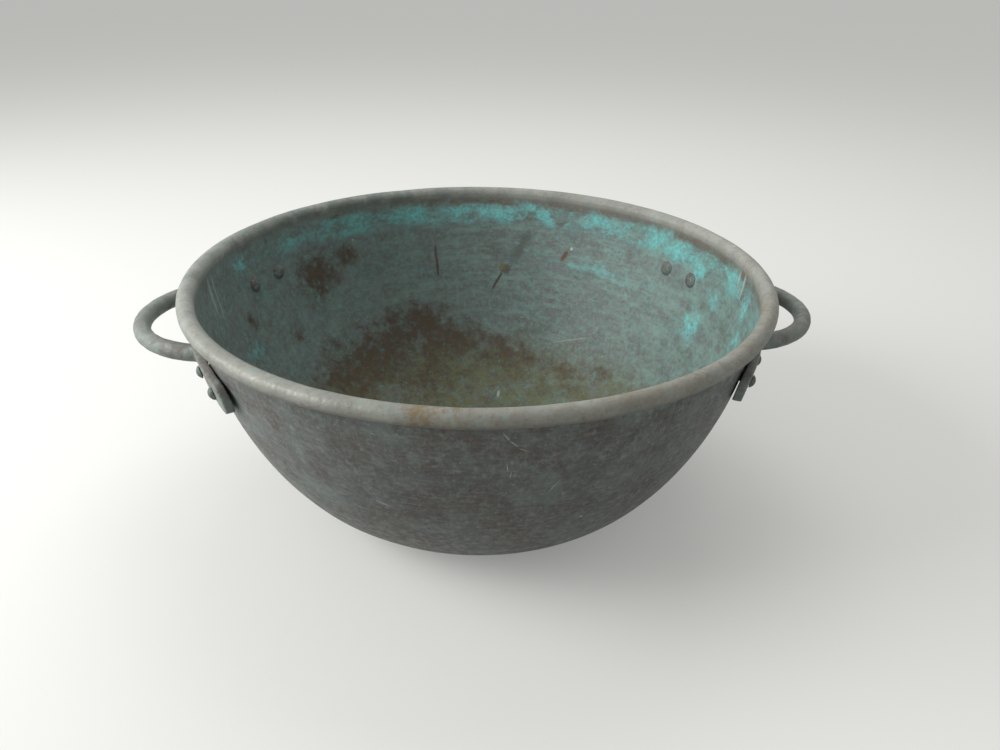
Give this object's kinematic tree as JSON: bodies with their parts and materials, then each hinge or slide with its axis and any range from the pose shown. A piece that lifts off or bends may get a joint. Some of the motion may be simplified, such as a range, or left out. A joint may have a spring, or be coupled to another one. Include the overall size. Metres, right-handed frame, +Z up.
{
  "type": "copper kettle",
  "caption": "Large deep round copper bowl with a rolled rim and two riveted loop handles, aged to grey-brown and verdigris.",
  "frame": {"origin": "centre of the flat resting face, on the bowl's axis", "axes": "+X towards the right handle along the line through both handles, +Z up the bowl's axis"},
  "size_m": [0.6674, 0.5598, 0.235],
  "materials": {
    "copper_sheet": "old copper, dull grey-brown with verdigris inside",
    "forged_handle": "forged bronze, dull green-grey",
    "rivet_metal": "hammered copper, dark green-grey",
    "iron_wire": "plain iron rod, hidden in the rolled edge"
  },
  "bodies": {
    "root": {"bowl": "copper_sheet", "rim_wire": "iron_wire", "left_handle": "forged_handle", "right_handle": "forged_handle", "rivet_left_back_inner": "rivet_metal", "rivet_left_back_outer": "rivet_metal", "rivet_left_front_inner": "rivet_metal", "rivet_left_front_outer": "rivet_metal", "rivet_right_back_inner": "rivet_metal", "rivet_right_back_outer": "rivet_metal", "rivet_right_front_inner": "rivet_metal", "rivet_right_front_outer": "rivet_metal"}
  },
  "joints": []
}
